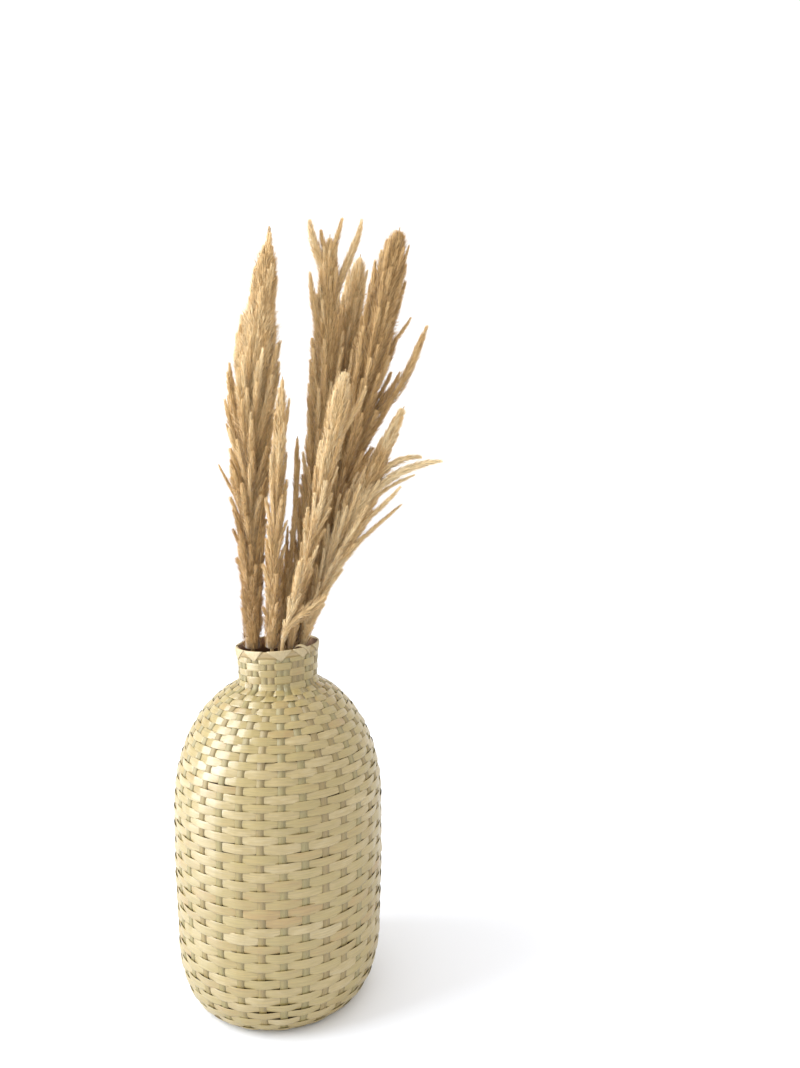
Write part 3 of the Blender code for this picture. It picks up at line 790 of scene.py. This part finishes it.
def stalk_line(stalk):
    """Points along the middle of a stalk, from its foot to its tip, and the distance to each of them."""
    foot = np.array([*stalk["foot"], CULM_FOOT_Z])
    neck = np.array([*stalk["neck"], NECK_Z])
    mid, tip = np.array(stalk["mid"]), np.array(stalk["tip"])
    route = [2 * foot - neck, foot, neck, mid, tip, 2 * tip - mid]
    share = np.linspace(0.0, 1.0, LINE_STEPS, endpoint=False)[:, None]
    square, cube = share**2, share**3
    pieces = []
    for before, start, end, after in zip(route[:3], route[1:4], route[2:5], route[3:], strict=True):
        span = np.linalg.norm(end - start)
        piece = start * (2 * cube - 3 * square + 1) + end * (3 * square - 2 * cube)
        piece = piece + unit(end - before) * span * (cube - 2 * square + share)
        pieces.append(piece + unit(after - start) * span * (cube - square))
    points = np.vstack([*pieces, tip])
    distances = np.concatenate([[0.0], np.cumsum(np.linalg.norm(np.diff(points, axis=0), axis=1))])
    return points, distances


def place_on(line, distance):
    points, distances = line
    return np.stack([np.interp(distance, distances, points[:, axis]) for axis in range(3)], axis=-1)


def heading_on(line, distance):
    return unit(place_on(line, distance + HEADING_REACH) - place_on(line, distance - HEADING_REACH))


def across_of(heading, toward):
    """Two directions at right angles to a heading. The first is the one nearest to toward."""
    first = unit(toward - heading * np.sum(heading * toward, axis=-1, keepdims=True))
    return first, np.cross(heading, first)


def rings_round(centres, side, over, radius, sides):
    """Rings of points round centres, in the plane of two directions."""
    turn = np.arange(sides)[:, None] * math.tau / sides
    offset = side[..., None, :] * np.cos(turn) + over[..., None, :] * np.sin(turn)
    return centres[..., None, :] + offset * radius[..., None, None]


def plume_start(line):
    """The distance along a stalk at which its plume starts."""
    points, distances = line
    return float(np.interp(PLUME_START_Z, points[:, 2], distances))


culm_finish, tree, culm_shader = new_finish("culm")
culm_streaks = streaks(tree, *CULM_STREAKS, 0.0, 2.0)
culm_colour = ramp(tree, culm_streaks, [(0.3, (0.40, 0.24, 0.09)), (0.7, (0.62, 0.45, 0.22))])
tree.links.new(culm_colour, culm_shader.inputs["Base Color"])
culm_shader.inputs["Roughness"].default_value = 0.5

for name, stalk in STALKS.items():
    line = stalk_line(stalk)
    distance = np.linspace(0.0, plume_start(line) + CULM_INTO_PLUME, CULM_RINGS)
    from_joint = (distance + JOINT_OFFSET) % JOINT_SPACING
    swell = JOINT_SWELL * np.exp(-((from_joint / JOINT_LONG) ** 2))
    radius = CULM_RADIUS * (1.0 + swell - CULM_TAPER * distance)
    heading = heading_on(line, distance)
    side, over = across_of(heading, EAST)
    points = rings_round(place_on(line, distance), side, over, radius, CULM_SIDES)
    along = np.repeat(distance, CULM_SIDES)
    across = np.tile(np.abs(np.arange(CULM_SIDES) / CULM_SIDES - 0.5), len(distance))
    culm = build(
        "culm_" + name,
        points.reshape(-1, 3),
        tubes(len(distance), CULM_SIDES),
        {"along": along, "across": across},
        np.column_stack([along, across]),
    )
    culm.data.materials.append(culm_finish)
    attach(culm, "root")
    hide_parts("stem_" + name)


# Each plume is a dried seed head: a full middle along the axis, and slim locks that leave it one above the
# other, rise close along it and turn out at their tips. All of it carries tufts of fine, soft hairs.
WIDTH_PLACES = (0.0, 0.2, 0.4, 0.6, 0.7, 0.8, 0.9, 0.96, 1.0)
MIDDLE_PIECES = 8
MIDDLE_LOW = 0.42
MIDDLE_HIGH = 0.78
MIDDLE_SLIM = 0.7
MIDDLE_BLUNT = 7.0
LOCKS_PER_AREA = 17000
LOW_LOCK_LONG = 0.70
LOCK_LONG = (0.75, 1.3)
LOCK_OUT = (0.90, 1.10)
LOCK_WIDE = (0.7, 1.3)
LEAST_LOCK = 0.0017
LOCK_OF_PLUME = 0.085
LOCK_BLUNT = (3.5, 8.0)
LOCK_SLIM = 0.45
STRAY_SLIM = 0.8
STRAY_BLUNT = 4.6
LOW_FAN = 0.42
HIGH_FAN = 0.10
BLADES_PER_AREA = 3.0e6
TUFTS_PER_AREA = 0.32e6
GOLDEN_TURN = 2.39996
BLADE_WIDTH = 0.00065
BLADE_LONG = (0.0035, 0.0085)
BLADE_REACH = (0.72, 1.22)
BLADE_ROLL = 0.5
BLADE_ROOT = 0.35
HAIR_DEEP = 0.0022
TUFT_LONG = 0.0040
TUFT_WIDE = 0.0013
TUFT_TURN = 0.35
TUFT_REACH = (0.80, 1.25)
TUFT_CLOSES = 0.65
# Painted light and shade: how much lighter the hairs are near a lock's tip, and how much darker near its
# base.
TIP_PAINTED_LIGHT = 0.32
# Painted shade: how much darker the locks at the foot of a plume are.
ROOT_PAINTED_SHADE = 0.35
LOCK_TONES = 0.16
TUFT_TONES = 0.11
HAIR_TONES = 0.08
# Painted shade for the hairs: how dark a hair is at its root and how light at its tip.
HAIR_PAINTED_SHADE = (0.62, 1.02)
BRANCH_RINGS = 9
BRANCH_SIDES = 6
BRANCH_SHARE = 0.5
AXIS_RINGS = 20
AXIS_SIDES = 6
AXIS_TONE = 0.2

# A small step in tone from one point to the next gives each face some room in its bake layout.
BRANCH_STEP = 0.01
HAIR_STEP = 0.004


def plume_width(stalk, share):
    """Radius of a plume's outside at a share of its length, from its root to its tip."""
    return 0.001 * np.interp(share, WIDTH_PLACES, stalk["widths"])


def bend(handles, share):
    """Points at a share of smooth curves. handles is four points for each curve."""
    rest = 1.0 - share
    weights = np.stack([rest**3, 3 * rest**2 * share, 3 * rest * share**2, share**3], axis=-1)
    return np.einsum("...k,...kx->...x", weights, handles)


def bend_heading(handles, share):
    rest = 1.0 - share
    weights = np.stack([rest**2, 2 * rest * share, share**2], axis=-1)
    return unit(np.einsum("...k,...kx->...x", weights, np.diff(handles, axis=-2)))


def lay_out_locks(stalk, line, start):
    """For each lock of a plume: curve handles, outward direction, and its radius, slimness at its root,
    bluntness of its tip and tone."""
    length = line[1][-1] - start

    # The full middle, in lengths that grow out of each other.
    locks = []
    for piece in range(MIDDLE_PIECES):
        low = start + max(length * (piece - 0.25) / MIDDLE_PIECES, -0.010)
        high = start + length * min((piece + 1.6) / MIDDLE_PIECES, 0.985)
        base, tip = place_on(line, low), place_on(line, high)
        span = high - low
        leave = base + heading_on(line, low) * span / 3
        arrive = tip - heading_on(line, high) * span / 3
        side, _ = across_of(heading_on(line, low), EAST)
        share = (piece + 0.7) / MIDDLE_PIECES
        full = max(eased(0.4, 0.75, share), 1.0 - eased(0.08, 0.30, share))
        wide = (MIDDLE_LOW + (MIDDLE_HIGH - MIDDLE_LOW) * full) * plume_width(stalk, share)
        slim = MIDDLE_SLIM if piece else 1.0
        locks.append((np.stack([base, leave, arrive, tip]), side, wide, slim, MIDDLE_BLUNT, share))

    # The locks round it.
    widest = 0.001 * max(stalk["widths"])
    count = int(LOCKS_PER_AREA * length * widest)
    for number in range(count):
        share = 0.05 + 0.93 * (number + rng.random()) / count
        top = start + share * length
        upper = float(eased(0.35, 0.75, share))
        lock_long = stalk["lock"] * (LOW_LOCK_LONG + (1.0 - LOW_LOCK_LONG) * upper)
        lock_long = lock_long * rng.uniform(*LOCK_LONG)
        root = max(top - lock_long, start - 0.02 * rng.random())
        turn = number * GOLDEN_TURN + rng.uniform(-0.5, 0.5)
        heading = heading_on(line, top)
        side, over = across_of(heading, EAST)
        outward = side * math.cos(turn) + over * math.sin(turn)
        outside = float(plume_width(stalk, share)) * rng.uniform(*LOCK_OUT)
        wide = (LEAST_LOCK + LOCK_OF_PLUME * widest) * rng.uniform(*LOCK_WIDE)
        wide = min(wide, 0.5 * outside + 0.001)
        away = max(outside - 0.85 * wide, 0.15 * outside)
        base = place_on(line, root)
        tip = place_on(line, top) + outward * away
        span = np.linalg.norm(tip - base)
        leave = base + heading_on(line, root) * span * 0.30 + outward * away * 0.35
        fan = LOW_FAN + (HIGH_FAN - LOW_FAN) * upper
        arrive = tip - unit(heading + fan * rng.uniform(0.6, 1.4) * outward) * span * 0.36
        curve = np.stack([base, leave, arrive, tip])
        locks.append((curve, outward, wide, LOCK_SLIM, rng.uniform(*LOCK_BLUNT), share))

    # The wisps that stand off. lift turns a tip up along the stalk, and below 0 out from it. From 1 up the
    # wisp also leaves low.
    for share, end, wide, lift in stalk["strays"]:
        base = place_on(line, start + share * length)
        heading = heading_on(line, start + share * length)
        end = np.array(end)
        span = np.linalg.norm(end - base)
        out = unit(end - base)
        leave = base + (heading if lift < 1.0 else unit(out - 0.7 * heading)) * span * 0.38
        arrive = end - unit(out + lift * heading) * span * 0.32
        outward, _ = across_of(heading, end - base)
        locks.append((np.stack([base, leave, arrive, end]), outward, wide, STRAY_SLIM, STRAY_BLUNT, share))

    handles, outward, wide, slim, blunt, height = (np.array(values) for values in zip(*locks, strict=True))
    low_tone, high_tone = stalk["tones"]
    tone = low_tone + (high_tone - low_tone) * eased(0.15, 0.55, height)
    # Painted shade: locks that start low in the plume, near the mouth, are darker.
    tone = tone - ROOT_PAINTED_SHADE * (1.0 - eased(0.0, 0.16, height))
    tone = tone + rng.normal(0.0, LOCK_TONES, len(locks))
    return handles, outward, wide, slim, blunt, np.clip(tone, 0.05, 0.95)


def lock_radius(wide, slim, blunt, share):
    """How far a lock's hairs reach from its branch: little at its root, less again at its tip."""
    taper = np.maximum(0.0, 1.0 - np.clip(share, 0.0, 1.0) ** blunt) ** 0.8
    return wide * (slim + (1.0 - slim) * eased(0.0, 0.35, share)) * taper


def hair_end(curves, outward, share, turn, reach):
    """A point round a lock's branch, and the direction away from the branch there."""
    side, over = across_of(bend_heading(curves, share), outward)
    away = side * np.cos(turn)[:, None] + over * np.sin(turn)[:, None]
    return bend(curves, share) + away * reach[:, None], away


plume_finish, tree, plume_shader = new_finish("plume")
hair_tone = ramp(
    tree,
    mark_output(tree, "tone"),
    [(0.0, (0.51, 0.295, 0.095)), (0.5, (0.83, 0.575, 0.26)), (1.0, (0.96, 0.775, 0.46))],
)
# Painted shade: each hair is darker at its root than at its tip, and the branches and axis sit at the dark
# end of this scale.
hair_painted_shade = ranged(tree, mark_output(tree, "up"), 0.0, 0.8, *HAIR_PAINTED_SHADE)
tree.links.new(shaded(tree, hair_tone, hair_painted_shade), plume_shader.inputs["Base Color"])
plume_shader.inputs["Roughness"].default_value = 0.75
plume_shader.inputs["Sheen Weight"].default_value = 0.4

for name, stalk in STALKS.items():
    line = stalk_line(stalk)
    start = plume_start(line)
    handles, outward, wide, slim, blunt, lock_tone = lay_out_locks(stalk, line, start)
    locks = len(handles)
    long = np.linalg.norm(handles[:, 3] - handles[:, 0], axis=1)

    # The branches in the middle of the locks, and the stalk's own axis up to the tip.
    share = np.linspace(0.0, 0.97, BRANCH_RINGS)[None, :] + np.zeros((locks, 1))
    curves = np.repeat(handles[:, None], BRANCH_RINGS, axis=1)
    heading = bend_heading(curves, share)
    side, over = across_of(heading, outward[:, None, :])
    radius = lock_radius(wide[:, None], slim[:, None], blunt[:, None], share)
    radius = np.maximum(radius * BRANCH_SHARE, radius - 1.3 * HAIR_DEEP) + 0.0002
    branches = rings_round(bend(curves, share), side, over, radius, BRANCH_SIDES).reshape(-1, 3)
    branch_tone = np.repeat(lock_tone, BRANCH_RINGS * BRANCH_SIDES)
    branch_up = np.tile(np.repeat(np.linspace(0.0, 0.3, BRANCH_RINGS), BRANCH_SIDES), locks)
    branch_tone = branch_tone + np.tile(np.arange(BRANCH_SIDES) % 2 * BRANCH_STEP, locks * BRANCH_RINGS)
    axis_distance = np.linspace(start - 0.004, line[1][-1], AXIS_RINGS)
    side, over = across_of(heading_on(line, axis_distance), EAST)
    axis_radius = np.linspace(CULM_RADIUS, 0.0005, AXIS_RINGS)
    axis = rings_round(place_on(line, axis_distance), side, over, axis_radius, AXIS_SIDES).reshape(-1, 3)
    axis_tone = AXIS_TONE + np.tile(np.arange(AXIS_SIDES) % 2 * BRANCH_STEP, AXIS_RINGS)
    axis_up = np.repeat(np.linspace(0.0, 0.2, AXIS_RINGS), AXIS_SIDES)

    # The hairs. Each is one narrow blade that leans to the tip of its tuft.
    blades = (BLADES_PER_AREA * long * wide).astype(int)
    tufts = np.maximum(4, TUFTS_PER_AREA * long * wide).astype(int)
    first_tuft = np.cumsum(tufts) - tufts
    of_lock = np.repeat(np.arange(locks), tufts)
    number = np.arange(len(of_lock)) - first_tuft[of_lock]
    tuft_share = 0.03 + 0.95 * ((number + rng.random(len(number))) / tufts[of_lock]) ** 0.75
    tuft_turn = number * GOLDEN_TURN + rng.uniform(-0.4, 0.4, len(number))
    tuft_turn = tuft_turn - np.where(slim > LOCK_SLIM, 0.0, 0.4)[of_lock] * np.sin(tuft_turn)
    tuft_reach = rng.uniform(*TUFT_REACH, len(number))
    tuft_tone = rng.normal(0.0, TUFT_TONES, len(number))
    lock = np.repeat(np.arange(locks), blades)
    tuft = first_tuft[lock] + (rng.random(len(lock)) * tufts[lock]).astype(int)
    share = np.clip(tuft_share[tuft] + rng.normal(0.0, TUFT_LONG, len(lock)) / long[lock], 0.0, 0.99)
    far = lock_radius(wide[lock], slim[lock], blunt[lock], share - 0.02) + 0.0004
    turn = tuft_turn[tuft] + rng.normal(0.0, 1.0, len(lock)) * np.minimum(TUFT_TURN, TUFT_WIDE / far)
    tip_share = np.minimum(share + rng.uniform(*BLADE_LONG, len(lock)) / long[lock], 1.04)
    tip_turn = tuft_turn[tuft] + TUFT_CLOSES * (turn - tuft_turn[tuft])
    tip_reach = far * tuft_reach[tuft] * rng.uniform(*BLADE_REACH, len(lock))
    root_reach = np.maximum(BLADE_ROOT * far, far - HAIR_DEEP)
    root_point, away = hair_end(handles[lock], outward[lock], share, turn, root_reach)
    tip_point, _ = hair_end(handles[lock], outward[lock], tip_share, tip_turn, tip_reach)
    lean = unit(tip_point - root_point)
    flat, _ = across_of(lean, np.cross(away, lean))
    roll = rng.normal(0.0, BLADE_ROLL, len(lock))[:, None]
    flat = flat * np.cos(roll) + np.cross(lean, flat) * np.sin(roll)
    flat = flat * BLADE_WIDTH * 0.5 * rng.uniform(0.7, 1.2, len(lock))[:, None]
    hairs = np.stack([root_point - flat, root_point + flat, tip_point], axis=1).reshape(-1, 3)
    # Painted light and shade: a hair is lighter near its lock's tip and darker near its base. The tuft and
    # hair tones are random.
    tone = lock_tone[lock] + TIP_PAINTED_LIGHT * (share - 0.55) + tuft_tone[tuft]
    tone = np.clip(tone + rng.normal(0.0, HAIR_TONES, len(lock)), 0.02, 0.98)
    hair_tones = np.repeat(tone, 3) + np.tile([-HAIR_STEP, HAIR_STEP, 0.0], len(lock))
    hair_up = np.tile([0.0, 0.0, 1.0], len(lock))

    axis_first = len(branches)
    hair_first = axis_first + len(axis)
    faces = tubes(BRANCH_RINGS, BRANCH_SIDES, np.arange(locks) * BRANCH_RINGS * BRANCH_SIDES)
    faces += tubes(AXIS_RINGS, AXIS_SIDES, [axis_first])
    faces.append(np.arange(len(hairs)).reshape(-1, 3) + hair_first)
    tones = np.concatenate([branch_tone, axis_tone, hair_tones])
    ups = np.concatenate([branch_up, axis_up, hair_up])
    plume = build(
        "pampas_" + name,
        np.vstack([branches, axis, hairs]),
        faces,
        {"tone": tones, "up": ups},
        np.column_stack([tones, ups]),
    )
    plume.data.materials.append(plume_finish)
    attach(plume, "root")
    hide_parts("plume_" + name)


# The studio is a pale, matt floor in a white surround that fills the shadows. A tall, soft key light stands
# at the left front, and the camera looks a little down on the pot.
FLOOR_REACH = 60.0
SURROUND_STRENGTH = 1.17
KEY_POWER = 45.0
KEY_WIDE, KEY_TALL = 1.0, 2.0
KEY_PLACE = Vector((-1.41, -0.38, 0.95))
KEY_AIM = Vector((0.0, 0.0, 0.3))
EYE = (0.118, -0.762, 0.505)
EYE_DOWN = 4.5
FILM = 36.0
LENS_TO_FILM = 800.0 / 1068.0

floor_corners = [(x * FLOOR_REACH, y * FLOOR_REACH, 0.0) for x, y in ((-1, -1), (1, -1), (1, 1), (-1, 1))]
floor_mesh = bpy.data.meshes.new("studio_floor")
floor_mesh.from_pydata(floor_corners, [], [(0, 1, 2, 3)])
floor = placed("studio_floor", floor_mesh)
pale_floor, _, floor_shader = new_finish("pale_floor")
floor_shader.inputs["Base Color"].default_value = (0.88, 0.895, 0.93, 1.0)
floor_shader.inputs["Roughness"].default_value = 0.9
floor_mesh.materials.append(pale_floor)

world = bpy.data.worlds.new("studio")
bpy.context.scene.world = world
world.use_nodes = True
surround = world.node_tree.nodes["Background"]
surround.inputs["Color"].default_value = (1.0, 0.99, 0.98, 1.0)
surround.inputs["Strength"].default_value = SURROUND_STRENGTH

key_light = bpy.data.lights.new("key", "AREA")
key_light.energy = KEY_POWER
key_light.shape = "RECTANGLE"
key_light.size = KEY_WIDE
key_light.size_y = KEY_TALL
key_light.color = (0.87, 0.925, 1.0)
key = placed("key", key_light)
key.location = KEY_PLACE
key.rotation_mode = "QUATERNION"
key.rotation_quaternion = (KEY_AIM - KEY_PLACE).to_track_quat("-Z", "Y")

camera_lens = bpy.data.cameras.new("camera")
camera_lens.sensor_fit = "VERTICAL"
camera_lens.sensor_height = FILM
camera_lens.sensor_width = FILM
camera_lens.lens = LENS_TO_FILM * FILM
camera_lens.clip_start = 0.01
camera = placed("camera", camera_lens)
camera.location = EYE
camera.rotation_euler = (math.radians(90.0 - EYE_DOWN), 0.0, 0.0)
bpy.context.scene.camera = camera
bpy.context.scene.view_settings.view_transform = "Standard"
